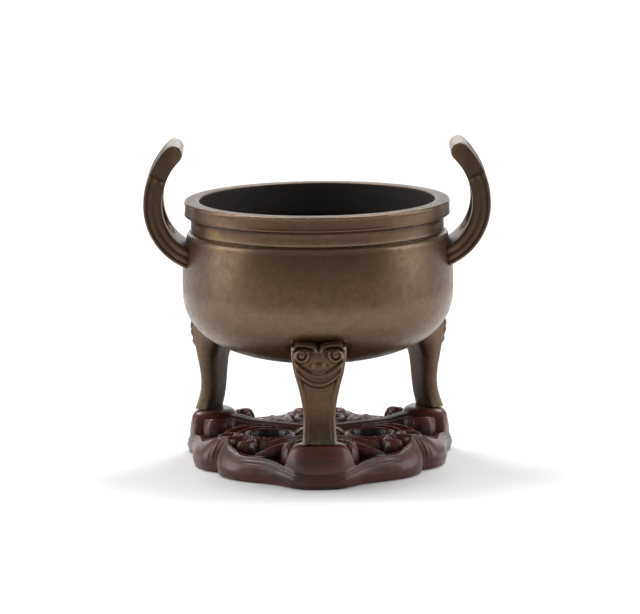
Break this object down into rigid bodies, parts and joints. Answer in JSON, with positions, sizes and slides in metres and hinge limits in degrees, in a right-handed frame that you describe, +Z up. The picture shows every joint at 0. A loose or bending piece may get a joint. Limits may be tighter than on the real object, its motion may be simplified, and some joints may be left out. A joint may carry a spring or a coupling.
{
  "type": "tripod incense burner",
  "caption": "Bronze tripod censer with a round open bowl, curved loop handles and mask-topped legs, resting on a carved hardwood stand.",
  "frame": {"origin": "on the floor, under the bowl's axis, at the middle of the stand's flat underside", "axes": "+Z up along the bowl's axis, +X through the right handle, -Y through the front leg"},
  "size_m": [0.2076, 0.1694, 0.1957],
  "materials": {
    "bronze": "satin brown patina",
    "hardwood": "dark red-brown, polished"
  },
  "bodies": {
    "root": {"censer": "bronze", "stand": "hardwood"}
  },
  "joints": []
}
